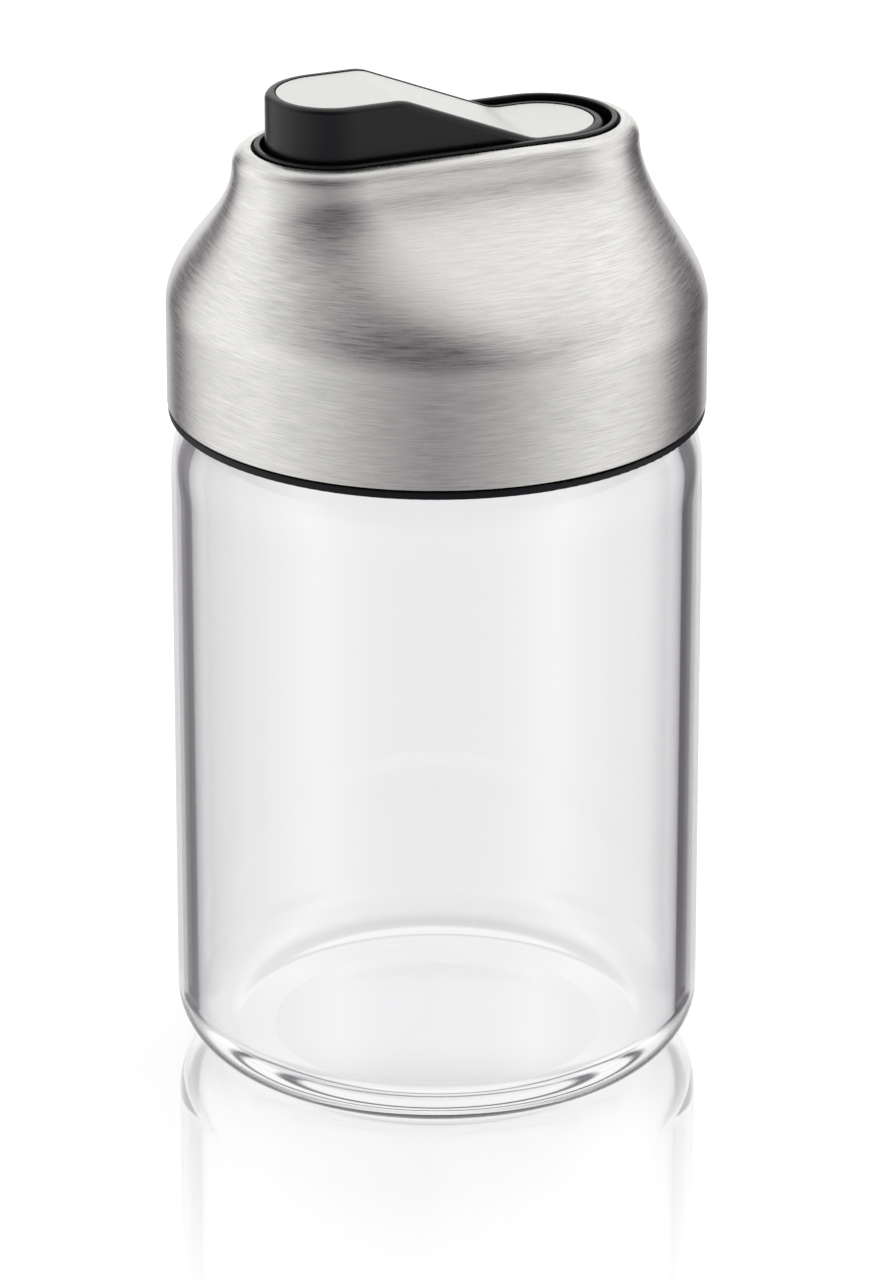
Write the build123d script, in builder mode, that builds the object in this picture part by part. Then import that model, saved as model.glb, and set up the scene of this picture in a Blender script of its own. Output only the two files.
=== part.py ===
from build123d import *
import math
import os

# Clear storage jar with a screw cap and a rocker flap over a pouring hole.
# Millimetres. Origin at the middle of the base, +Z up, +X towards the flap's press end.

# Glass jar
body_radius = 52.4
glass_wall = 3.8
base_thickness = 3.8
heel_radius = 12.0
punt_radius = 33.0
punt_rise = 0.8
shoulder_z = 130.2
shoulder_height = 4.8
shoulder_radius = 13.0
neck_inset = 7.4
neck_foot_radius = 3.0
neck_height = 18.0
lip_round = 0.8

# Screw thread: one start on the neck, the same helix inside the cap
thread_lead = 5.0
thread_depth = 1.3
thread_root_width = 2.4
thread_crest_width = 1.1
thread_bite = 0.6
neck_thread_turns = 1.5
cap_thread_turns = 1.25
thread_start_above_foot = 5.0

# Cap, outside
cap_overhang = 0.6
sheet = 0.8
ring_height = 1.6
ring_setback = 0.2
ring_round = 0.4
ring_lift = 4.6
sheet_gap = 0.35
skirt_height = 20.4
crown_height = 30.8
rim_roll = 3.5
rim_land = 0.25
roll_height = 3.6
curve_bias = 1.16
length_bias = 1.2
curve_steps = 11
least_slot = 0.04

# Cap opening and its black collar
opening_reach = 22.3
opening_radius = 15.3
lip_depth = 2.8
collar_gap = 0.6
collar_wall = 1.1
collar_stand = 0.5
collar_round = 0.3
tray_floor = 1.4
tray_flange = 1.5
flange_reach = 3.1

# Threaded insert
thread_clearance = 0.4
insert_wall = 1.9
locating_wall = 1.7
locating_height = 11.0
locating_gap = 0.2
insert_flange = 1.2
deck_thickness = 1.8
rib_count = 12
rib_width = 1.4
rib_bite = 0.3
plug_depth = 3.6
plug_wall = 1.9
plug_clearance = 0.5

# Seals
neck_seal_thickness = 1.2
neck_seal_margin = 0.25
pour_seal_width = 1.4
pour_seal_height = 1.4
pour_seal_groove = 0.4
seal_clearance = 0.1

# Pouring hole and funnel
hole_radius = 9.2
hole_length = 8.0
funnel_wall = 1.4
spout_drop = 10.2
funnel_flange = 1.4
funnel_foot_height = 1.2
funnel_foot_width = 2.4

# Rocker flap
flap_gap = 1.0
press_end_gap = 0.4
flap_drop = 4.6
flap_high = 11.0
flap_low = -0.2
crest_x = -11.5
slope_end_x = 16.0
crest_radius = 9.0
valley_radius = 9.0
border_width = 2.2
border_round = 1.3
plate_thickness = 0.8
plate_sink = 0.15
plate_clearance = 0.3
flap_wall = 1.8
base_plate = 1.2
base_clearance = 0.1
plug_height = 1.6
plug_gap = 0.6

# Hinge
hinge_x = 4.0
pin_radius = 1.25
pin_drop = 2.4
pin_fit = 0.02
pin_running = 0.05
boss_radius = 2.4
boss_length = 3.0
tilt_deg = 20.0
tilt_clearance = 0.5

# Screws that tie the tray to the funnel
screw_radius = 1.0
screw_head_radius = 1.8
screw_head_height = 1.2
screw_fit = 0.05
screw_boss_radius = 2.0
screw_boss_height = 5.0
screw_bite = 4.2
screw_end_angle = 60.0
screw_mid_x = -1.5
screw_mid_y = 10.6

# Radii and heights that follow from the sizes above
neck_radius = body_radius - neck_inset
cap_radius = body_radius + cap_overhang
neck_foot_z = shoulder_z + shoulder_height
neck_top = neck_foot_z + neck_height
ring_z = shoulder_z + ring_lift
ring_top = ring_z + ring_height
shell_bottom = ring_top + sheet_gap
skirt_top = ring_top + skirt_height
crown_top = skirt_top + crown_height
rim_z = crown_top + roll_height
deck_z = neck_top + neck_seal_thickness
deck_top = deck_z + deck_thickness
neck_bore = neck_radius - glass_wall
insert_bore = neck_radius + thread_depth + thread_clearance
insert_outer = insert_bore + insert_wall
deck_hole = neck_bore - plug_clearance - plug_wall
locating_outer = cap_radius - sheet - locating_gap

collar_outer = opening_radius - collar_gap
collar_inner = collar_outer - collar_wall
collar_top = rim_z + collar_stand
flange_top = rim_z - lip_depth
flap_radius = collar_inner - flap_gap
flap_bottom = rim_z - flap_drop
pin_z = rim_z - pin_drop
seat_z = flap_bottom - pour_seal_height + pour_seal_groove
seat_bottom = seat_z - tray_floor
hole_x = -opening_reach + hole_length / 2
boss_bottom = seat_bottom - screw_boss_height
spout_bottom = seat_bottom - spout_drop
tilt = math.radians(tilt_deg)
slope = math.atan2(flap_high - flap_low, slope_end_x - crest_x)


def stadium(half_length, radius, x_mid=0.0):
    """An obround on X, drawn in the sketch that is open."""
    with Locations((x_mid, 0)):
        SlotCenterToCenter(max(2 * half_length, least_slot), 2 * radius)


def flap_outline(inset):
    """The flap's plan: an obround whose press end stops short of the pouring end."""
    reach = 2 * opening_reach - press_end_gap
    with Locations((-press_end_gap / 2, 0)):
        SlotCenterToCenter(reach, 2 * (flap_radius - inset))


def flap_block(drop, inset):
    """The flap's solid form, its top lowered square to itself by drop, its sides drawn in."""
    shift = drop * math.tan(slope / 2)
    high = rim_z + flap_high - drop
    low = rim_z + flap_low - drop
    far = 2 * opening_reach
    with BuildPart() as block:
        with BuildSketch(Plane.XZ):
            with BuildLine():
                top = FilletPolyline(
                    (-far, high),
                    (crest_x - shift, high),
                    (slope_end_x - shift, low),
                    (far, low),
                    radius=(crest_radius - drop, valley_radius + drop),
                )
                Polyline(top @ 1, (far, flap_bottom), (-far, flap_bottom), top @ 0)
            make_face()
        extrude(amount=flap_radius, both=True)
        with BuildSketch(Plane.XY.offset(flap_bottom)):
            flap_outline(inset)
        extrude(amount=2 * (flap_high + flap_drop), mode=Mode.INTERSECT)
    return block.part


def cap_section(u, wall):
    """Half length and end radius of the cap's outline at share u of the curved crown."""

    def outline(share):
        eased = max(min(share, 1.0), 0.0) ** curve_bias
        swing = 3 * eased**2 - 2 * eased**3
        top_radius = opening_radius + rim_roll + rim_land
        radius = cap_radius - (cap_radius - top_radius) * swing
        return opening_reach * swing**length_bias, radius

    half, radius = outline(u)
    if wall == 0:
        return half, radius
    step = 0.01
    before = outline(u - step)
    after = outline(u + step)
    span = crown_height * (min(u + step, 1) - max(u - step, 0))
    side_slope = (before[1] - after[1]) / span
    end_slope = (sum(before) - sum(after)) / span
    side_wall = wall * math.hypot(1, side_slope)
    end_wall = wall * math.hypot(1, end_slope)
    return half + side_wall - end_wall, radius - side_wall


def cap_form(wall):
    """The cap's outer form, or the hollow that leaves a wall of the given thickness."""
    with BuildPart() as form:
        half, radius = cap_section(0, wall)
        with BuildSketch(Plane.XY.offset(shell_bottom)):
            stadium(half, radius)
        extrude(amount=skirt_top - shell_bottom)
        for step in range(curve_steps + 1):
            u = step / curve_steps
            half, radius = cap_section(u, wall)
            with BuildSketch(Plane.XY.offset(skirt_top + crown_height * u)):
                stadium(half, radius)
        loft()
        with BuildSketch(Plane.XY.offset(crown_top)):
            stadium(half, radius)
        extrude(amount=roll_height - wall)
        fillet(form.edges().group_by(Axis.Z)[-1], rim_roll - wall)
    return form.part


def helix_ridge(root_radius, out, turns, start_z):
    """One helical ridge that grows out of, or into, a wall of root_radius."""
    root = -out * thread_bite
    with BuildPart() as ridge:
        with BuildLine() as path:
            Helix(
                pitch=thread_lead,
                height=thread_lead * turns,
                radius=root_radius,
                center=(0, 0, start_z),
            )
        with BuildSketch(Plane(origin=path.line @ 0, x_dir=(1, 0, 0), z_dir=path.line % 0)):
            with BuildLine():
                Polyline(
                    (root, -thread_root_width / 2),
                    (0, -thread_root_width / 2),
                    (out * thread_depth, -thread_crest_width / 2),
                    (out * thread_depth, thread_crest_width / 2),
                    (0, thread_root_width / 2),
                    (root, thread_root_width / 2),
                    close=True,
                )
            make_face()
        sweep(path=path.line, is_frenet=True)
    return ridge.part


def ring_profile(inner, outer, low, high):
    """A rectangle of a ring's section, in the open sketch on the XZ plane."""
    with Locations(((inner + outer) / 2, (low + high) / 2)):
        Rectangle(outer - inner, high - low)


def screw_points():
    """Two screws round the pouring end and two beyond the hole."""
    spread = (hole_radius + funnel_wall + collar_outer) / 2
    angle = math.radians(screw_end_angle)
    end_x = -opening_reach - spread * math.cos(angle)
    end_y = spread * math.sin(angle)
    return [(end_x, end_y), (end_x, -end_y), (screw_mid_x, screw_mid_y), (screw_mid_x, -screw_mid_y)]


os.makedirs("parts", exist_ok=True)

# Glass jar: even wall, rounded heel, shoulder, neck with its thread
with BuildPart() as glass_jar:
    turn = math.atan2(body_radius - neck_radius, shoulder_height)
    inner_shift = glass_wall * math.tan(turn / 2)
    inner_radius = body_radius - glass_wall
    with BuildSketch(Plane.XZ):
        with BuildLine():
            outer = FilletPolyline(
                (punt_radius, 0),
                (body_radius, 0),
                (body_radius, shoulder_z),
                (neck_radius, neck_foot_z),
                (neck_radius, neck_top),
                radius=(heel_radius, shoulder_radius, neck_foot_radius),
            )
            Polyline(outer @ 1, (0, neck_top), (0, punt_rise), outer @ 0)
        make_face()
        with BuildLine():
            inner = FilletPolyline(
                (0, base_thickness),
                (inner_radius, base_thickness),
                (inner_radius, shoulder_z - inner_shift),
                (neck_bore, neck_foot_z - inner_shift),
                (neck_bore, neck_top),
                radius=(heel_radius - glass_wall, shoulder_radius - glass_wall, neck_foot_radius + glass_wall),
            )
            Polyline(inner @ 1, (0, neck_top), inner @ 0)
        make_face(mode=Mode.SUBTRACT)
    revolve(axis=Axis.Z)
    fillet(glass_jar.edges().group_by(Axis.Z)[-1], lip_round)
    add(helix_ridge(neck_radius, 1, neck_thread_turns, neck_foot_z + thread_start_above_foot))
glass_jar.part.label = "glass_jar"
export_step(glass_jar.part, "parts/glass_jar.step")

# Neck seal: flat ring between the jar's lip and the insert's deck
with BuildPart() as neck_seal:
    with BuildSketch(Plane.XZ):
        ring_profile(neck_bore, insert_bore - neck_seal_margin, neck_top, deck_z)
    revolve(axis=Axis.Z)
neck_seal.part.label = "neck_seal"
export_step(neck_seal.part, "parts/neck_seal.step")

# Threaded insert: visible ring, threaded wall, locating wall, deck and plug ring
with BuildPart() as threaded_insert:
    with BuildSketch(Plane.XZ):
        ring_profile(insert_bore, insert_outer, ring_top, deck_top)
        ring_profile(deck_hole, insert_outer, deck_z, deck_top)
        ring_profile(deck_hole, deck_hole + plug_wall, neck_top - plug_depth, deck_z)
        ring_profile(insert_bore, cap_radius - ring_setback, ring_top - insert_flange, ring_top)
        ring_profile(locating_outer - locating_wall, cap_radius - ring_setback, ring_z, ring_top)
        ring_profile(locating_outer - locating_wall, locating_outer, ring_top, ring_top + locating_height)
    revolve(axis=Axis.Z)
    ring_edges = threaded_insert.edges().filter_by(GeomType.CIRCLE).sort_by(SortBy.RADIUS)
    fillet(ring_edges[-2:], ring_round)
    rib_depth = locating_outer - locating_wall - insert_outer
    with BuildSketch(Plane.XY.offset(ring_top)):
        with PolarLocations(insert_outer + rib_depth / 2, rib_count):
            Rectangle(rib_depth + 2 * rib_bite, rib_width)
    extrude(amount=locating_height)
    ridge_z = neck_foot_z + thread_start_above_foot - thread_lead / 2
    add(helix_ridge(insert_bore, -1, cap_thread_turns, ridge_z))
threaded_insert.part.label = "threaded_insert"
export_step(threaded_insert.part, "parts/threaded_insert.step")

# Steel shell: one drawn sheet, round below, obround at the rolled rim
with BuildPart() as steel_shell:
    add(cap_form(0))
    add(cap_form(sheet), mode=Mode.SUBTRACT)
    with BuildSketch(Plane.XY.offset(flange_top)):
        stadium(opening_reach, opening_radius + sheet)
    extrude(amount=lip_depth - sheet / 2)
    with BuildSketch(Plane.XY.offset(flange_top)):
        stadium(opening_reach, opening_radius)
    extrude(amount=2 * lip_depth, mode=Mode.SUBTRACT)
steel_shell.part.label = "steel_shell"
export_step(steel_shell.part, "parts/steel_shell.step")

# Pour tray: collar, seat with the pouring hole, ramp of the well, flange under the rim
ramp_top = pin_z - (pin_z - flap_bottom + tilt_clearance) / math.cos(tilt)
ramp_x = hinge_x + (ramp_top - seat_z) / math.tan(tilt)
tray_end = opening_reach + 2 * collar_outer
ramp_fall = (tray_end - ramp_x) * math.tan(tilt)
tray_depth = collar_top - seat_bottom + ramp_fall
seal_inner = hole_radius + (pour_seal_width + 2 * seal_clearance) / 2


def above_floor(lowered, height):
    """All that lies over the seat and the ramp, both lowered square to themselves."""
    shift = lowered * math.tan(tilt / 2)
    with BuildPart() as block:
        with BuildSketch(Plane.XZ):
            with BuildLine():
                Polyline(
                    (-tray_end, height),
                    (-tray_end, seat_z - lowered),
                    (ramp_x - shift, seat_z - lowered),
                    (tray_end - shift, seat_z - lowered - ramp_fall),
                    (tray_end - shift, height),
                    close=True,
                )
            make_face()
        extrude(amount=2 * collar_outer, both=True)
    return block.part


with BuildPart() as well_space:
    add(above_floor(0, 2 * collar_top))
    with BuildSketch(Plane.XY.offset(collar_top)):
        stadium(opening_reach, collar_inner)
    extrude(amount=tray_depth, both=True, mode=Mode.INTERSECT)

with BuildPart() as pour_tray:
    add(above_floor(tray_floor, collar_top))
    with BuildSketch(Plane.XY.offset(collar_top)):
        stadium(opening_reach, collar_outer)
    extrude(amount=-tray_depth, mode=Mode.INTERSECT)
    with BuildSketch(Plane.XY.offset(flange_top)):
        stadium(opening_reach, collar_outer + flange_reach)
    extrude(amount=-tray_flange)
    with BuildSketch(Plane.XY.offset(seat_bottom)):
        with Locations(*screw_points()):
            Circle(screw_boss_radius)
    extrude(amount=-screw_boss_height)
    add(well_space.part, mode=Mode.SUBTRACT)
    with BuildSketch(Plane.XY.offset(seat_z)):
        stadium(hole_length / 2, hole_radius, hole_x)
    extrude(amount=-2 * tray_floor, mode=Mode.SUBTRACT)
    with BuildSketch(Plane.XY.offset(seat_z)):
        stadium(hole_length / 2, seal_inner + pour_seal_width + seal_clearance, hole_x)
        with Locations((hole_x, 0)):
            SlotCenterToCenter(hole_length, 2 * (seal_inner - seal_clearance), mode=Mode.SUBTRACT)
    extrude(amount=-pour_seal_groove, mode=Mode.SUBTRACT)
    with BuildSketch(Plane.XY.offset(boss_bottom)):
        with Locations(*screw_points()):
            Circle(screw_radius + screw_fit)
    extrude(amount=screw_bite + screw_fit, mode=Mode.SUBTRACT)
    with BuildSketch(Plane.XZ):
        with Locations((hinge_x, pin_z)):
            Circle(pin_radius + pin_fit)
    extrude(amount=collar_outer + flange_reach, both=True, mode=Mode.SUBTRACT)
    fillet(pour_tray.edges().group_by(Axis.Z)[-1], collar_round)
pour_tray.part.label = "pour_tray"
export_step(pour_tray.part, "parts/pour_tray.step")

# Pour seal: obround ring in its groove, proud of the seat
with BuildPart() as pour_seal:
    with BuildSketch(Plane.XY.offset(seat_z - pour_seal_groove)):
        stadium(hole_length / 2, seal_inner + pour_seal_width, hole_x)
        with Locations((hole_x, 0)):
            SlotCenterToCenter(hole_length, 2 * seal_inner, mode=Mode.SUBTRACT)
    extrude(amount=pour_seal_height)
pour_seal.part.label = "pour_seal"
export_step(pour_seal.part, "parts/pour_seal.step")

# Pour funnel: foot on the deck, slanted hopper, spout up to the tray, screw flange
with BuildPart() as pour_funnel:
    with BuildSketch(Plane.XY.offset(deck_top)):
        Circle(deck_hole + funnel_wall + funnel_foot_width)
    extrude(amount=funnel_foot_height)
    with BuildSketch(Plane.XY.offset(deck_top)):
        stadium(0, deck_hole + funnel_wall)
    with BuildSketch(Plane.XY.offset(spout_bottom)):
        stadium(hole_length / 2, hole_radius + funnel_wall, hole_x)
    loft()
    with BuildSketch(Plane.XY.offset(spout_bottom)):
        stadium(hole_length / 2, hole_radius + funnel_wall, hole_x)
    extrude(amount=seat_bottom - spout_bottom)
    flange_mid = (screw_mid_x - opening_reach) / 2
    with BuildSketch(Plane.XY.offset(boss_bottom)):
        stadium((screw_mid_x + opening_reach) / 2, collar_outer, flange_mid)
    extrude(amount=-funnel_flange)
    with BuildSketch(Plane.XY.offset(deck_top)):
        stadium(0, deck_hole)
    with BuildSketch(Plane.XY.offset(spout_bottom)):
        stadium(hole_length / 2, hole_radius, hole_x)
    loft(mode=Mode.SUBTRACT)
    with BuildSketch(Plane.XY.offset(spout_bottom)):
        stadium(hole_length / 2, hole_radius, hole_x)
    extrude(amount=seat_bottom - spout_bottom, mode=Mode.SUBTRACT)
    with BuildSketch(Plane.XY.offset(boss_bottom)):
        with Locations(*screw_points()):
            Circle(screw_radius + 2 * screw_fit)
    extrude(amount=-funnel_flange, mode=Mode.SUBTRACT)
pour_funnel.part.label = "pour_funnel"
export_step(pour_funnel.part, "parts/pour_funnel.step")

# Tray screws: pan heads below the funnel's flange
with BuildPart() as tray_screws:
    head_top = boss_bottom - funnel_flange
    with BuildSketch(Plane.XY.offset(head_top)):
        with Locations(*screw_points()):
            Circle(screw_head_radius)
    extrude(amount=-screw_head_height)
    with BuildSketch(Plane.XY.offset(head_top)):
        with Locations(*screw_points()):
            Circle(screw_radius)
    extrude(amount=funnel_flange + screw_bite)
tray_screws.part.label = "tray_screws"
export_step(tray_screws.part, "parts/tray_screws.step")

# Hinge pin: pressed into both sides of the collar
with BuildPart() as hinge_pin:
    with BuildSketch(Plane.XZ):
        with Locations((hinge_x, pin_z)):
            Circle(pin_radius)
    extrude(amount=collar_outer, both=True)
hinge_pin.part.label = "hinge_pin"
export_step(hinge_pin.part, "parts/hinge_pin.step")

# Flap body: hollow rocker, recessed on top for the plate
with BuildPart() as plate_recess:
    with BuildSketch(Plane.XY.offset(flap_bottom)):
        flap_outline(border_width - plate_clearance)
    extrude(amount=2 * (flap_high + flap_drop))
    add(flap_block(plate_sink + plate_thickness, 0), mode=Mode.SUBTRACT)

with BuildPart() as flap_body:
    add(flap_block(0, 0))
    top_faces = [face for face in flap_body.faces() if face.normal_at().Z > 0.5]
    side_faces = [face for face in flap_body.faces() if abs(face.normal_at().Z) < 0.01]
    side_edges = [edge for face in side_faces for edge in face.edges()]
    top_edges = [edge for face in top_faces for edge in face.edges()]
    fillet([edge for edge in top_edges if any(edge.is_same(other) for other in side_edges)], border_round)
    add(plate_recess.part, mode=Mode.SUBTRACT)
    add(flap_block(plate_sink + plate_thickness + base_plate, flap_wall), mode=Mode.SUBTRACT)
    boss_start = flap_radius - flap_wall - boss_length
    for side in (1, -1):
        with BuildSketch(Plane.XZ.offset(side * boss_start)):
            with Locations((hinge_x, pin_z)):
                Circle(boss_radius)
        extrude(amount=side * (boss_length + flap_wall / 2))
    with BuildSketch(Plane.XY.offset(flap_bottom)):
        flap_outline(flap_wall)
    extrude(amount=base_plate + base_clearance, mode=Mode.SUBTRACT)
    with BuildSketch(Plane.XZ):
        with Locations((hinge_x, pin_z)):
            Circle(pin_radius + pin_running)
    extrude(amount=flap_radius, both=True, mode=Mode.SUBTRACT)
flap_body.part.label = "flap_body"
export_step(flap_body.part, "parts/flap_body.step")

# Flap plate: bent steel sheet let into the flap's top
with BuildPart() as flap_plate:
    add(flap_block(plate_sink, border_width))
    add(flap_block(plate_sink + plate_thickness, 0), mode=Mode.SUBTRACT)
flap_plate.part.label = "flap_plate"
export_step(flap_plate.part, "parts/flap_plate.step")

# Flap base: closes the hollow, holds the pin from below, carries the plug
with BuildPart() as flap_base:
    with BuildSketch(Plane.XY.offset(flap_bottom)):
        flap_outline(flap_wall + base_clearance)
    extrude(amount=base_plate)
    with BuildSketch(Plane.XY.offset(flap_bottom)):
        stadium(hole_length / 2, hole_radius - plug_gap, hole_x)
    extrude(amount=-plug_height)
    with BuildSketch(Plane.XZ):
        with Locations((hinge_x, pin_z)):
            Circle(pin_radius + pin_running)
    extrude(amount=flap_radius, both=True, mode=Mode.SUBTRACT)
flap_base.part.label = "flap_base"
export_step(flap_base.part, "parts/flap_base.step")

print("rim", round(rim_z, 2), "ring", round(ring_z, 2), "neck top", round(neck_top, 2))
print("flap top", round(rim_z + flap_high, 2), "pin", hinge_x, round(pin_z, 2), "seat", round(seat_z, 2))
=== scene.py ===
import math

import bpy
import numpy as np
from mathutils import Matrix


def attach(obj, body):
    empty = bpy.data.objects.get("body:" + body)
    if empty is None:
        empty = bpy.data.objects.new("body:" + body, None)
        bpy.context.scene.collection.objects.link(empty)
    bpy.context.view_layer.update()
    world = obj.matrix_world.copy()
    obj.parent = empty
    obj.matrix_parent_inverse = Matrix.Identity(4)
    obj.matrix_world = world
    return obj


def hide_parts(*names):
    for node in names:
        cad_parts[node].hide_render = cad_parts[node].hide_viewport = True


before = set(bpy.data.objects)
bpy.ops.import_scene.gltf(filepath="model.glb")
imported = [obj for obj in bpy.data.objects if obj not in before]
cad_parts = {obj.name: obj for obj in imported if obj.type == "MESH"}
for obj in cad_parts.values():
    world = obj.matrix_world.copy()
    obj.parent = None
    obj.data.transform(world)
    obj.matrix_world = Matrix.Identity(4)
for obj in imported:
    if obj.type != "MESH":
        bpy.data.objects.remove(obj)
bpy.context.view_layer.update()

# A clear storage jar with a brushed steel cap and a black rocker flap, on a white studio floor.
# Metres, in the part's own frame: +Z up, the pouring end at -X.

tiny = 1e-6
print("loaded", len(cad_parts), "nodes")

# Camera and studio

camera = {
    "azimuth": -23.0433,
    "pitch": 21.99,
    "place": (-0.5235, -1.2333, 0.626),
    "lens": 203.99,
    "sensor": 36.0,
    "clip": (0.01, 100),
}

lens = bpy.data.cameras.new("camera")
lens.lens = camera["lens"]
lens.sensor_width = camera["sensor"]
lens.clip_start, lens.clip_end = camera["clip"]
cameraObject = bpy.data.objects.new("camera", lens)
cameraObject.location = camera["place"]
cameraObject.rotation_euler = (math.radians(90 - camera["pitch"]), 0, math.radians(camera["azimuth"]))
bpy.context.scene.collection.objects.link(cameraObject)
bpy.context.scene.camera = cameraObject
bpy.context.scene.view_settings.view_transform = "Standard"


def addNode(tree, kind, place=(0, 0), inputs=None, **settings):
    # A node with its settings and its plain input values.
    node = tree.nodes.new(kind)
    node.location = place
    for key, value in settings.items():
        setattr(node, key, value)
    for key, value in (inputs or {}).items():
        node.inputs[key].default_value = value
    return node


def fillRamp(ramp, stops):
    # Grey stops of a colour ramp, as (position, level) pairs.
    elements = ramp.color_ramp.elements
    while len(elements) < len(stops):
        elements.new(0.5)
    for element, (position, level) in zip(elements, stops):
        element.position = position
        element.color = (level, level, level, 1)
    ramp.color_ramp.interpolation = "LINEAR"


studio = {
    "facing": math.radians(23.0),
    # azimuth in degrees, 0 towards the camera and growing to the right, and the level there
    "ring": [
        (-180, 1.0), (-170, 1.0), (-157, 0.9), (-153, 0.2), (-139, 0.17), (-126, 0.8), (-112, 1.05),
        (-82, 1.12), (-20, 0.5), (0, 0.38), (25, 0.52), (74, 1.06), (92, 1.02), (108, 0.8), (122, 0.22),
        (138, 0.1), (152.5, 0.13), (157.5, 0.85), (170, 1.0), (180, 1.0),
    ],
    # the same higher up, which the crown reflects
    "upper": [
        (-180, 0.9), (-105, 1.0), (-60, 0.32), (-35, 0.12), (-12, 0.08), (18, 0.1), (62, 0.6), (105, 1.0),
        (155, 1.1), (180, 0.95),
    ],
    "upperFrom": (4.0, 40.0),
    "overheadLevel": 0.94,
    "overheadFrom": (70.0, 88.0),
    "tableShare": 0.8,
    "tableFrom": (-28.0, 0.0),
    # the darker parts of the studio are a little lilac
    "darkTint": (1.02, 0.945, 1.04, 1),
    "tintFrom": (0.1, 0.65),
    "glassLift": 0.07,
    # below the table's far edge light that was turned back in the glass finds white
    "underLevel": 1.0,
    "underFrom": (-34.0, -24.0),
    # height in degrees, and a share of the level there: thin dark strips that only thick glass shows
    "strip": [
        (-90, 0.95), (-60, 0.95), (-57.5, 0.15), (-54.5, 0.15), (-52, 1.0), (-45, 1.0), (-43, 0.15),
        (-41.5, 0.15), (-39.5, 1.0), (-36, 1.08), (-34, 1.08), (-32, 0.82), (-29.5, 0.82), (-27, 1.0),
        (90, 1.0),
    ],
    # straight through the glass: white behind the jar with two soft streaks, greyer to the sides
    "behindGlass": [
        (-180, 0.93), (-178.1, 0.92), (-176.9, 0.97), (-176, 0.9), (-175.2, 0.82), (-170, 0.81),
        (-165, 0.77), (-160, 0.7), (-150, 0.66), (0, 0.9), (150, 0.95), (160, 1.0), (165, 0.96),
        (168.5, 0.91), (171, 0.85), (174, 0.83), (175.5, 0.85), (176, 0.89), (176.9, 0.975),
        (177.9, 0.92), (180, 0.93),
    ],
}


def mathNode(tree, operation, *feeds, clamp=False):
    # A maths node whose inputs are plain numbers or other nodes' outputs.
    node = addNode(tree, "ShaderNodeMath", operation=operation, use_clamp=clamp)
    for index, feed in enumerate(feeds):
        if isinstance(feed, (int, float)):
            node.inputs[index].default_value = feed
        else:
            tree.links.new(feed, node.inputs[index])
    return node.outputs[0]


def easeBetween(tree, feed, low, high):
    # 0 below low, 1 above high, and a smooth step between.
    node = addNode(tree, "ShaderNodeMapRange", inputs={1: low, 2: high}, interpolation_type="SMOOTHSTEP")
    tree.links.new(feed, node.inputs[0])
    return node.outputs[0]


def blendOf(tree, share, first, second):
    # first where share is 0, second where it is 1.
    node = addNode(tree, "ShaderNodeMix", data_type="FLOAT")
    for index, feed in ((0, share), (2, first), (3, second)):
        if isinstance(feed, (int, float)):
            node.inputs[index].default_value = feed
        else:
            tree.links.new(feed, node.inputs[index])
    return node.outputs[0]


def rampOf(tree, feed, stops, fromValue, toValue):
    # Levels along a colour ramp, at values between fromValue and toValue.
    node = addNode(tree, "ShaderNodeValToRGB")
    fillRamp(node, [((value - fromValue) / (toValue - fromValue), level) for value, level in stops])
    share = addNode(tree, "ShaderNodeMapRange", inputs={1: fromValue, 2: toValue})
    tree.links.new(feed, share.inputs[0])
    tree.links.new(share.outputs[0], node.inputs[0])
    return node.outputs[0]


world = bpy.data.worlds.new("studio")
bpy.context.scene.world = world
world.use_nodes = True
tree = world.node_tree
tree.nodes.clear()
output = addNode(tree, "ShaderNodeOutputWorld")
background = addNode(tree, "ShaderNodeBackground")
tree.links.new(background.outputs[0], output.inputs[0])
direction = addNode(tree, "ShaderNodeTexCoord")
turned = addNode(tree, "ShaderNodeVectorRotate", inputs={"Angle": studio["facing"]}, rotation_type="Z_AXIS")
tree.links.new(direction.outputs["Generated"], turned.inputs["Vector"])
split = addNode(tree, "ShaderNodeSeparateXYZ")
tree.links.new(turned.outputs[0], split.inputs[0])
towards = mathNode(tree, "MULTIPLY", split.outputs["Y"], -1.0)
azimuth = mathNode(tree, "DEGREES", mathNode(tree, "ARCTAN2", split.outputs["X"], towards))
height = mathNode(tree, "DEGREES", mathNode(tree, "ARCSINE", split.outputs["Z"]))
ring = rampOf(tree, azimuth, studio["ring"], -180, 180)
upper = rampOf(tree, azimuth, studio["upper"], -180, 180)
lit = blendOf(tree, easeBetween(tree, height, *studio["upperFrom"]), ring, upper)
lit = blendOf(tree, easeBetween(tree, height, *studio["overheadFrom"]), lit, studio["overheadLevel"])
table = blendOf(tree, easeBetween(tree, height, *studio["tableFrom"]), studio["tableShare"], 1.0)
lit = mathNode(tree, "MULTIPLY", lit, table)
behind = rampOf(tree, azimuth, studio["behindGlass"], -180, 180)
paths = addNode(tree, "ShaderNodeLightPath")
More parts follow.
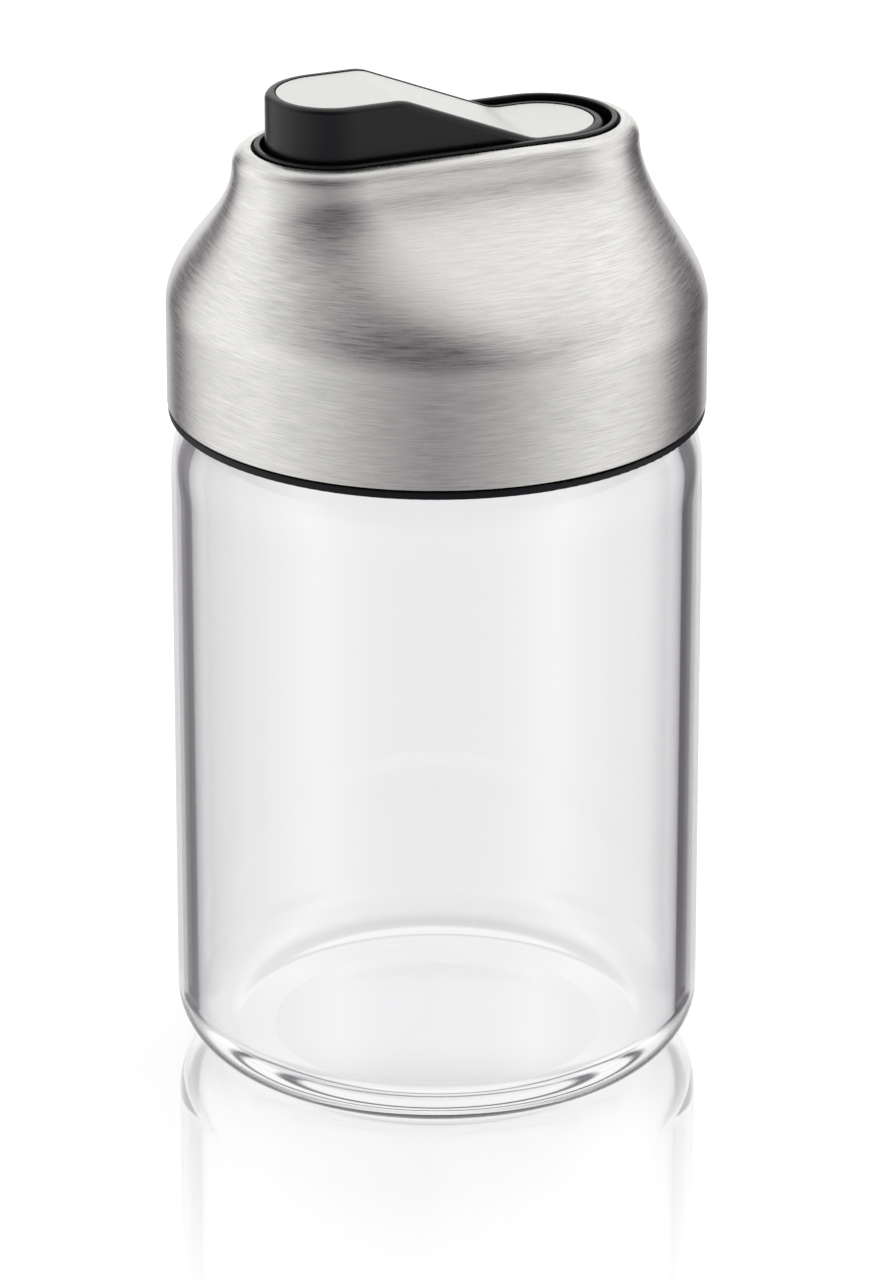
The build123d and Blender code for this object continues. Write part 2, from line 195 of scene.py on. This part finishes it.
# a ray that has been in the glass sees the studio where it was turned back, and else the white behind
inGlass = mathNode(tree, "GREATER_THAN", paths.outputs["Transmission Depth"], 0.5)
straight = mathNode(tree, "LESS_THAN", paths.outputs["Glossy Depth"], 0.5)
turnedBack = blendOf(tree, studio["glassLift"], lit, 1.0)
under = easeBetween(tree, height, *studio["underFrom"])
turnedBack = blendOf(tree, under, studio["underLevel"], turnedBack)
glassy = blendOf(tree, straight, turnedBack, behind)
glassy = mathNode(tree, "MULTIPLY", glassy, rampOf(tree, height, studio["strip"], -90, 90))
seen = blendOf(tree, inGlass, lit, glassy)
seen = blendOf(tree, paths.outputs["Is Camera Ray"], seen, 1.0)
tree.links.new(seen, background.inputs["Strength"])
tint = addNode(tree, "ShaderNodeMix", inputs={6: studio["darkTint"], 7: (1, 1, 1, 1)}, data_type="RGBA")
tree.links.new(easeBetween(tree, seen, *studio["tintFrom"]), tint.inputs[0])
tree.links.new(tint.outputs[2], background.inputs["Color"])
print("studio done")


def gridFaces(rows, columns, closedRows):
    # Corner rows and columns of every quad of a grid whose columns close on themselves.
    rowCount = rows if closedRows else rows - 1
    row, column = np.meshgrid(np.arange(rowCount), np.arange(columns), indexing="ij")
    row, column = row.ravel(), column.ravel()
    cornerRows = np.stack([row, row, row + 1, row + 1], 1)
    cornerColumns = np.stack([column, column + 1, column + 1, column], 1)
    return cornerRows, cornerColumns


def ringSurface(name, points, closedRows=False, startPole=None, endPole=None, sharpDeg=35.0):
    # points is a (rows, columns, 3) array whose columns run once round. Rows can close on themselves,
    # as on a sheet with two sides, or end in a pole. UVs are lengths in metres, along the rows and round.
    closingStep = 0.001
    rows, columns = points.shape[:2]
    cornerRows, cornerColumns = gridFaces(rows, columns, closedRows)
    quads = (cornerRows % rows) * columns + cornerColumns % columns
    vertices = points.reshape(-1, 3)
    steps = np.linalg.norm(np.diff(points[:, 0], axis=0), axis=1)
    along = np.cumsum(np.concatenate([[0.0], steps, [closingStep]]))
    around = np.linspace(0, 2 * math.pi * np.abs(points[..., :2]).max(), columns + 1)
    quadUv = np.stack([along[cornerRows], around[cornerColumns]], -1)
    faces = quads.tolist()
    uvs = quadUv.reshape(-1, 2)
    for pole, row in ((startPole, 0), (endPole, rows - 1)):
        if pole is None:
            continue
        centre = len(vertices)
        vertices = np.vstack([vertices, pole])
        ring = row * columns + np.arange(columns)
        fan = np.stack([np.roll(ring, -1), ring, np.full(columns, centre)], 1)
        fan = fan if row == 0 else fan[:, ::-1]
        faces += fan.tolist()
        uvs = np.vstack([uvs, np.tile([along[row], 0.0], (3 * columns, 1))])
    first = vertices[quads[:, 0]]
    cross = np.cross(vertices[quads[:, 1]] - first, vertices[quads[:, 2]] - first)
    cross += np.cross(vertices[quads[:, 2]] - first, vertices[quads[:, 3]] - first)
    if (first * cross).sum() < 0:  # the signed volume says that the faces point inwards
        counts = np.array([len(face) for face in faces])
        ends = np.cumsum(counts)
        backwards = [np.arange(end - 1, end - count - 1, -1) for end, count in zip(ends, counts)]
        uvs = uvs[np.concatenate(backwards)]
        faces = [face[::-1] for face in faces]
    mesh = bpy.data.meshes.new(name)
    mesh.from_pydata(vertices.tolist(), [], faces)
    layer = mesh.uv_layers.new(name="around")
    layer.data.foreach_set("uv", uvs.ravel())
    mesh.polygons.foreach_set("use_smooth", np.ones(len(faces), bool))
    mesh.set_sharp_from_angle(angle=math.radians(sharpDeg))
    mesh.update()
    piece = bpy.data.objects.new(name, mesh)
    bpy.context.scene.collection.objects.link(piece)
    return piece


def arcPoints(centre, radius, fromDeg, toDeg, count):
    # Points of a circular arc in the (outward, up) plane.
    angle = np.radians(np.linspace(fromDeg, toDeg, count))
    return np.stack([centre[0] + radius * np.cos(angle), centre[1] + radius * np.sin(angle)], 1)


def softCorner(start, corner, end, steps):
    # A quintic Bezier curve tangent to both sides, whose bend grows from nothing at either end.
    pulls = (0.4, 0.8)
    share = np.linspace(0, 1, steps)[:, None]
    points = [start]
    points += [start + (corner - start) * pull for pull in pulls]
    points += [end + (corner - end) * pull for pull in pulls[::-1]]
    points.append(end)
    weights = [math.comb(5, i) * share**i * (1 - share) ** (5 - i) for i in range(6)]
    return sum(weight * point for weight, point in zip(weights, points))


def roundedPath(corners, rounding, steps):
    # A polyline in the (outward, up) plane whose inner corners are rounded: a number is the radius of an
    # arc, and a pair of lengths says where a soft corner starts before the corner and ends after it.
    corners = np.array(corners, float)
    path = [corners[:1]]
    for before, corner, after, bend in zip(corners, corners[1:], corners[2:], rounding):
        back = (before - corner) / np.linalg.norm(before - corner)
        ahead = (after - corner) / np.linalg.norm(after - corner)
        if isinstance(bend, tuple):
            start, end = corner + back * bend[0], corner + ahead * bend[1]
            path.append(softCorner(start, corner, end, 2 * steps))
            continue
        half = math.acos(np.clip(back @ ahead, -1, 1)) / 2
        middle = back + ahead
        centre = corner + middle / np.linalg.norm(middle) * bend / math.sin(half)
        start = corner + back * bend / math.tan(half) - centre
        turn = math.copysign(math.pi - 2 * half, ahead[1] * back[0] - ahead[0] * back[1])
        angle = math.atan2(start[1], start[0]) - np.linspace(0, turn, steps)
        path.append(centre + bend * np.stack([np.cos(angle), np.sin(angle)], 1))
    path.append(corners[-1:])
    return np.vstack(path)


# Jar

jar = {
    "bodyRadius": 0.0524,
    "wall": 0.0038,
    "base": 0.0038,
    "heelRadius": 0.012,
    "puntRadius": 0.033,
    "puntRise": 0.0008,
    "puntRound": 0.012,
    "shoulder": 0.1302,
    "neckFoot": 0.135,
    "neckTop": 0.153,
    "neckRadius": 0.045,
    "shoulderSoft": (0.0105, 0.006),
    "innerShoulderSoft": (0.0095, 0.005),
    "footRadius": 0.003,
    "footReach": 0.002,
    "lipRound": 0.0008,
    "threadStart": 0.140,
    "threadLead": 0.005,
    "threadTurns": 1.5,
    "threadDepth": 0.0013,
    "threadRoot": 0.0024,
    "threadCrest": 0.0011,
    "threadFade": 0.05,
    "threadStep": 0.0003,
    "cornerSteps": 20,
    "columns": 256,
    "sharpDeg": 60,
}


def jarProfile(s):
    # The glass's section from the axis under the base, up the outside, over the lip and down inside.
    turn = math.atan2(s["bodyRadius"] - s["neckRadius"], s["neckFoot"] - s["shoulder"])
    shift = s["wall"] * math.tan(turn / 2)
    inner = s["bodyRadius"] - s["wall"]
    bore = s["neckRadius"] - s["wall"]
    corners = [
        (0.0, s["puntRise"]), (s["puntRadius"], 0.0), (s["bodyRadius"], 0.0),
        (s["bodyRadius"], s["shoulder"]), (s["neckRadius"], s["neckFoot"]), (s["neckRadius"], s["neckTop"]),
        (bore, s["neckTop"]), (bore, s["neckFoot"] - shift), (inner, s["shoulder"] - shift),
        (inner, s["base"]), (0.0, s["base"]),
    ]
    rounding = [
        s["puntRound"], s["heelRadius"], s["shoulderSoft"], s["footRadius"], s["lipRound"],
        s["lipRound"], s["footRadius"] + s["wall"], s["innerShoulderSoft"][::-1],
        s["heelRadius"] - s["wall"],
    ]
    return roundedPath(corners, rounding, s["cornerSteps"])


def refine(path, s):
    # Extra points on the outer neck's straight run, where the thread stands out.
    step = s["threadStep"]
    on = np.abs(path[:, 0] - s["neckRadius"]) < tiny
    low = np.where(on & (path[:, 1] < s["neckFoot"] + s["footReach"]))[0][-1]
    extra = np.arange(path[low, 1] + step, s["neckTop"] - s["lipRound"] - step, step)
    neck = np.stack([np.full(len(extra), s["neckRadius"]), extra], 1)
    return np.vstack([path[: low + 1], neck, path[low + 1:]])


profile = refine(jarProfile(jar), jar)
turnAngle = np.linspace(0, 2 * math.pi, jar["columns"], endpoint=False)
radius = np.repeat(profile[1:-1, :1], jar["columns"], 1)
level = np.repeat(profile[1:-1, 1:], jar["columns"], 1)
# the thread: a ridge whose middle climbs one lead a turn, with a trapezoid section and faded ends
ridge = np.zeros_like(radius)
for lap in range(math.ceil(jar["threadTurns"])):
    run = turnAngle / (2 * math.pi) + lap
    away = np.abs(level - jar["threadStart"] - jar["threadLead"] * run)
    slope = (jar["threadRoot"] - jar["threadCrest"]) / 2
    section = np.clip((jar["threadRoot"] / 2 - away) / slope, 0, 1)
    left = jar["threadTurns"] - run
    ends = np.clip(run / jar["threadFade"], 0, 1) * np.clip(left / jar["threadFade"], 0, 1)
    ridge = np.maximum(ridge, section * ends)
onNeck = np.abs(radius - jar["neckRadius"]) < tiny
radius = radius + np.where(onNeck, jar["threadDepth"] * ridge, 0)
jarPoints = np.stack([radius * np.cos(turnAngle), radius * np.sin(turnAngle), level], -1)
startPole, endPole = (0, 0, profile[0, 1]), (0, 0, profile[-1, 1])
jarGlass = ringSurface(
    "jarGlass", jarPoints, startPole=startPole, endPole=endPole, sharpDeg=jar["sharpDeg"]
)
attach(jarGlass, "jar")
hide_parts("glass_jar")
print("jar done")


# Steel shell

shell = {
    "skirtRadius": 0.053,
    "sheet": 0.0008,
    "bottom": 0.13675,
    "skirtTop": 0.1568,
    "crownHeight": 0.0308,
    "rollHeight": 0.0036,
    "rimRoll": 0.0035,
    "rimLand": 0.00025,
    "openingReach": 0.0223,
    "openingRadius": 0.0153,
    "lipDepth": 0.0028,
    "curveBias": 1.16,
    "lengthBias": 1.2,
    "edgeRound": 0.0003,
    "edgeSteps": 5,
    "aboveEdge": 0.001,
    "belowCrown": 0.0005,
    "skirtRows": 8,
    "rollFrom": 4,
    "rollSteps": 16,
    "innerRollSteps": 12,
    "turnFrom": 100,
    "turnSteps": 6,
    "slopeStep": 0.01,
    "innerSkip": 3,
    "innerFoot": 0.002,
    "crownRows": 72,
    "columns": 384,
}


def crownSize(u, s):
    # Half length and end radius at share u of the crown: both follow one smooth step of the biased share.
    eased = np.clip(u, 0, 1) ** s["curveBias"]
    swing = 3 * eased**2 - 2 * eased**3
    top = s["openingRadius"] + s["rimRoll"] + s["rimLand"]
    return s["openingReach"] * swing ** s["lengthBias"], s["skirtRadius"] - (s["skirtRadius"] - top) * swing


def atRim(section, s):
    # A section's points, each with the rim's half length before it.
    return np.column_stack([np.full(len(section), s["openingReach"]), section])


def shellSections(s):
    # Rows of (half length, end radius, height): up the outside, over the rolled rim, back down inside.
    u = np.linspace(0, 1, s["crownRows"])
    half, radius = crownSize(u, s)
    height = s["skirtTop"] + s["crownHeight"] * u
    rim = s["skirtTop"] + s["crownHeight"] + s["rollHeight"]
    outer = np.stack([half, radius, height], 1)
    # the sheet's lower edge, rounded
    edgeCentre = (s["skirtRadius"] - s["edgeRound"], s["bottom"] + s["edgeRound"])
    edge = arcPoints(edgeCentre, s["edgeRound"], -90, 0, s["edgeSteps"])
    skirt = np.column_stack([np.zeros(s["edgeSteps"]), edge])
    levels = np.linspace(s["bottom"] + s["aboveEdge"], s["skirtTop"] - s["belowCrown"], s["skirtRows"])
    straight = np.array([[0, s["skirtRadius"], z] for z in levels])
    rollCentre = (radius[-1] - s["rimRoll"], rim - s["rimRoll"])
    roll = atRim(arcPoints(rollCentre, s["rimRoll"], s["rollFrom"], 90, s["rollSteps"]), s)
    turnCentre = (s["openingRadius"] + s["rimLand"], rim - s["rimLand"])
    turnIn = atRim(arcPoints(turnCentre, s["rimLand"], s["turnFrom"], 180, s["turnSteps"]), s)
    lip = np.array([
        [s["openingReach"], s["openingRadius"], rim - s["lipDepth"]],
        [s["openingReach"], s["openingRadius"] + s["sheet"], rim - s["lipDepth"]],
    ])
    innerRadius = s["rimRoll"] - s["sheet"]
    innerRoll = atRim(arcPoints(rollCentre, innerRadius, 90, s["rollFrom"], s["innerRollSteps"]), s)
    # the inner crown is set in by the sheet's thickness, square to the outer slope
    step = s["slopeStep"]
    halfBefore, radiusBefore = crownSize(u - step, s)
    halfAfter, radiusAfter = crownSize(u + step, s)
    span = s["crownHeight"] * (np.minimum(u + step, 1) - np.maximum(u - step, 0))
    side = s["sheet"] * np.hypot(1, (radiusBefore - radiusAfter) / span)
    end = s["sheet"] * np.hypot(1, (halfBefore + radiusBefore - halfAfter - radiusAfter) / span)
    inner = np.stack([half + side - end, radius - side, height], 1)[:: -s["innerSkip"]]
    innerSkirt = s["skirtRadius"] - s["sheet"]
    foot = np.array([[0, innerSkirt, z] for z in (s["skirtTop"] - s["innerFoot"], s["bottom"])])
    return np.vstack([skirt, straight, outer, roll, turnIn, lip, innerRoll, inner, foot])


def obroundRows(sections, columns):
    # A ray from the axis at every angle meets each section's straight side or its round end.
    angle = np.linspace(0, 2 * math.pi, columns, endpoint=False)
    cos, sin = np.cos(angle), np.sin(angle)
    half, radius, height = (sections[:, i:i + 1] for i in range(3))
    half = np.maximum(half, 0)
    onSide = radius * np.abs(cos) <= half * np.abs(sin)
    side = radius / np.maximum(np.abs(sin), tiny)
    end = half * np.abs(cos) + np.sqrt(np.maximum(radius**2 - (half * sin) ** 2, 0))
    reach = np.where(onSide, side, end)
    return np.stack([reach * cos, reach * sin, np.broadcast_to(height, reach.shape)], -1)


shellPoints = obroundRows(shellSections(shell), shell["columns"])
shellSteel = ringSurface("shellSteel", shellPoints, closedRows=True)
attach(shellSteel, "cap")
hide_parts("steel_shell")
print("shell done")


# Finishes

steels = {
    "brushedSteel": {
        "dark": (0.69, 0.68, 0.655, 1), "light": (0.93, 0.92, 0.89, 1), "roughness": 0.31, "grain": 0.06,
        "bump": 0.05, "anisotropic": 0.75, "length": 150.0, "fineness": 4600.0,
    },
    "plateSteel": {
        "dark": (0.805, 0.8, 0.775, 1), "light": (0.83, 0.825, 0.8, 1), "roughness": 0.36, "grain": 0.02,
        "bump": 0.01, "anisotropic": 0.0, "length": 400.0, "fineness": 3000.0,
    },
    "brightSteel": {
        "dark": (0.6, 0.6, 0.6, 1), "light": (0.7, 0.7, 0.7, 1), "roughness": 0.25, "grain": 0.05,
        "bump": 0.05, "anisotropic": 0.0, "length": 300.0, "fineness": 900.0,
    },
}
plastics = {
    "blackPlastic": {"colour": (0.003, 0.003, 0.005, 1), "roughness": 0.27, "bump": 0.04, "specular": 0.45},
    "ringPlastic": {"colour": (0.003, 0.003, 0.005, 1), "roughness": 0.36, "bump": 0.04, "specular": 0.25},
    "silicone": {"colour": (0.8, 0.8, 0.78, 1), "roughness": 0.55, "bump": 0.05, "specular": 0.5},
}
moulded = {"size": 2500.0, "from": 0.3, "to": 0.7, "grain": 0.05}
reliefDepth = 0.0001


def newGroup(name, inputs, outputs):
    # An empty node group with its sockets.
    group = bpy.data.node_groups.new(name, "ShaderNodeTree")
    for label, value in inputs.items():
        socket = group.interface.new_socket(label, in_out="INPUT", socket_type="NodeSocketFloat")
        socket.default_value = value
    for label in outputs:
        group.interface.new_socket(label, in_out="OUTPUT", socket_type="NodeSocketFloat")
    return group, addNode(group, "NodeGroupInput", (-900, 0)), addNode(group, "NodeGroupOutput", (700, 0))


def makeBrushing():
    # Fine scratches: noise stretched across X and Y and squeezed up Z, spread over 0 to 1.
    steel = steels["brushedSteel"]
    sockets = {"Length": steel["length"], "Fineness": steel["fineness"]}
    group, entry, out = newGroup("brushing", sockets, ["Scratches"])
    place = addNode(group, "ShaderNodeTexCoord", (-900, -200))
    scale = addNode(group, "ShaderNodeCombineXYZ", (-700, 0))
    group.links.new(entry.outputs["Length"], scale.inputs[0])
    group.links.new(entry.outputs["Length"], scale.inputs[1])
    group.links.new(entry.outputs["Fineness"], scale.inputs[2])
    stretched = addNode(group, "ShaderNodeVectorMath", (-500, 0), operation="MULTIPLY")
    group.links.new(place.outputs["Object"], stretched.inputs[0])
    group.links.new(scale.outputs[0], stretched.inputs[1])
    noise = {"Scale": 1.0, "Detail": 3.0, "Roughness": 0.7}
    fine = addNode(group, "ShaderNodeTexNoise", (-300, 100), noise)
    group.links.new(stretched.outputs[0], fine.inputs["Vector"])
    spread = addNode(group, "ShaderNodeMapRange", (0, 100), {1: 0.35, 2: 0.65})
    group.links.new(fine.outputs["Fac"], spread.inputs[0])
    group.links.new(spread.outputs[0], out.inputs["Scratches"])
    return group


def makeMoulding():
    # The faint grain of a satin moulding, about 0.5.
    group, entry, out = newGroup("moulding", {"Size": moulded["size"]}, ["Grain"])
    place = addNode(group, "ShaderNodeTexCoord", (-900, -200))
    grain = addNode(group, "ShaderNodeTexNoise", (-300, 0), {"Detail": 2.0})
    group.links.new(place.outputs["Object"], grain.inputs["Vector"])
    group.links.new(entry.outputs["Size"], grain.inputs["Scale"])
    group.links.new(grain.outputs["Fac"], out.inputs["Grain"])
    return group


brushing = makeBrushing()
moulding = makeMoulding()


def newFinish(name, **values):
    # A material with one Principled shader whose plain values are set on its own sockets.
    material = bpy.data.materials.new(name)
    material.use_nodes = True
    shader = material.node_tree.nodes["Principled BSDF"]
    for label, value in values.items():
        shader.inputs[label.replace("_", " ")].default_value = value
    return material, material.node_tree, shader


def addRelief(tree, shader, height, bump):
    # Heights that tilt the shader's normal a little.
    relief = addNode(tree, "ShaderNodeBump", (-300, -300), {"Strength": bump, "Distance": reliefDepth})
    tree.links.new(height, relief.inputs["Height"])
    tree.links.new(relief.outputs[0], shader.inputs["Normal"])


def steelFinish(name, s):
    # Scratches vary the colour and the roughness a little and tilt the surface a little. Anisotropic steel
    # takes the brushing's direction from the UVs.
    material, tree, shader = newFinish(name, Metallic=1.0, Anisotropic=s["anisotropic"])
    scratches = addNode(tree, "ShaderNodeGroup", (-700, 0), node_tree=brushing)
    scratches.inputs["Length"].default_value = s["length"]
    scratches.inputs["Fineness"].default_value = s["fineness"]
    shades = {6: s["dark"], 7: s["light"]}
    colour = addNode(tree, "ShaderNodeMix", (-300, 200), shades, data_type="RGBA")
    tree.links.new(scratches.outputs["Scratches"], colour.inputs[0])
    tree.links.new(colour.outputs[2], shader.inputs["Base Color"])
    sway = {3: s["roughness"] - s["grain"], 4: s["roughness"] + s["grain"]}
    rough = addNode(tree, "ShaderNodeMapRange", (-300, -50), sway)
    tree.links.new(scratches.outputs["Scratches"], rough.inputs[0])
    tree.links.new(rough.outputs[0], shader.inputs["Roughness"])
    addRelief(tree, shader, scratches.outputs["Scratches"], s["bump"])
    if s["anisotropic"]:
        tangent = addNode(tree, "ShaderNodeTangent", (-300, -550), direction_type="UV_MAP", uv_map="around")
        tree.links.new(tangent.outputs[0], shader.inputs["Tangent"])
    return material


def plasticFinish(name, s):
    # Satin plastic or silicone: an even colour, a fine moulded grain.
    material, tree, shader = newFinish(name, Base_Color=s["colour"], Specular_IOR_Level=s["specular"])
    grain = addNode(tree, "ShaderNodeGroup", (-700, 0), node_tree=moulding)
    low, high = s["roughness"] - moulded["grain"], s["roughness"] + moulded["grain"]
    sway = {1: moulded["from"], 2: moulded["to"], 3: low, 4: high}
    rough = addNode(tree, "ShaderNodeMapRange", (-300, -50), sway)
    tree.links.new(grain.outputs["Grain"], rough.inputs[0])
    tree.links.new(rough.outputs[0], shader.inputs["Roughness"])
    addRelief(tree, shader, grain.outputs["Grain"], s["bump"])
    return material


finish = {name: steelFinish(name, settings) for name, settings in steels.items()}
finish.update({name: plasticFinish(name, settings) for name, settings in plastics.items()})
clearGlass = newFinish(
    "clearGlass", Base_Color=(0.992, 0.993, 1.0, 1), Roughness=0.0, IOR=1.5, Transmission_Weight=1.0
)[0]

nodeFinishes = {
    "neck_seal": "silicone",
    "pour_seal": "silicone",
    "threaded_insert": "ringPlastic",
    "pour_tray": "blackPlastic",
    "pour_funnel": "blackPlastic",
    "flap_body": "blackPlastic",
    "flap_base": "blackPlastic",
    "flap_plate": "plateSteel",
    "hinge_pin": "brightSteel",
    "tray_screws": "brightSteel",
}
for nodeName, finishName in nodeFinishes.items():
    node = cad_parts[nodeName]
    if not node.material_slots:
        node.data.materials.append(finish[finishName])
    for slot in node.material_slots:
        slot.material = finish[finishName]
jarGlass.data.materials.append(clearGlass)
shellSteel.data.materials.append(finish["brushedSteel"])
print("finishes done")


# Floor

floor = {
    "reach": 8.0,
    "drop": 0.0002,
    "grey": (0.75, 0.75, 0.75, 1),
    "lift": 0.69,
    "gloss": 0.52,
    "roughness": 0.012,
    "glossFrom": 0.07,
    "glossTo": 0.24,
}

floorMesh = bpy.data.meshes.new("floor")
quarters = [(-1, -1), (1, -1), (1, 1), (-1, 1)]
floorPoints = [(x * floor["reach"], y * floor["reach"], 0) for x, y in quarters]
floorMesh.from_pydata(floorPoints, [], [(0, 1, 2, 3)])
floorObject = bpy.data.objects.new("floor", floorMesh)
floorObject.location.z = -floor["drop"]
bpy.context.scene.collection.objects.link(floorObject)
floorObject.visible_glossy = False
floorObject.visible_transmission = False
floorMaterial = bpy.data.materials.new("floorWhite")
floorMaterial.use_nodes = True
floorMesh.materials.append(floorMaterial)
tree = floorMaterial.node_tree
tree.nodes.clear()
output = addNode(tree, "ShaderNodeOutputMaterial", (1000, 0))
diffuse = addNode(tree, "ShaderNodeBsdfDiffuse", (0, 0), {"Color": floor["grey"]})
glow = addNode(tree, "ShaderNodeEmission", (0, -150), {"Strength": floor["lift"]})
added = addNode(tree, "ShaderNodeAddShader", (200, 0))
polish = {"Color": (1, 1, 1, 1), "Roughness": floor["roughness"]}
gloss = addNode(tree, "ShaderNodeBsdfGlossy", (200, -200), polish)
near = addNode(tree, "ShaderNodeMixShader", (400, 0))
place = addNode(tree, "ShaderNodeTexCoord", (-400, 400))
away = addNode(tree, "ShaderNodeVectorMath", (-200, 400), operation="LENGTH")
# the polish shows near the jar and fades out away from it
reach = {1: floor["glossFrom"], 2: floor["glossTo"], 3: floor["gloss"], 4: 0.0}
fade = addNode(tree, "ShaderNodeMapRange", (0, 400), reach)
tree.links.new(place.outputs["Object"], away.inputs[0])
tree.links.new(away.outputs["Value"], fade.inputs[0])
tree.links.new(diffuse.outputs[0], added.inputs[0])
tree.links.new(glow.outputs[0], added.inputs[1])
tree.links.new(added.outputs[0], near.inputs[1])
tree.links.new(gloss.outputs[0], near.inputs[2])
tree.links.new(fade.outputs[0], near.inputs[0])
tree.links.new(near.outputs[0], output.inputs[0])
print("floor done")
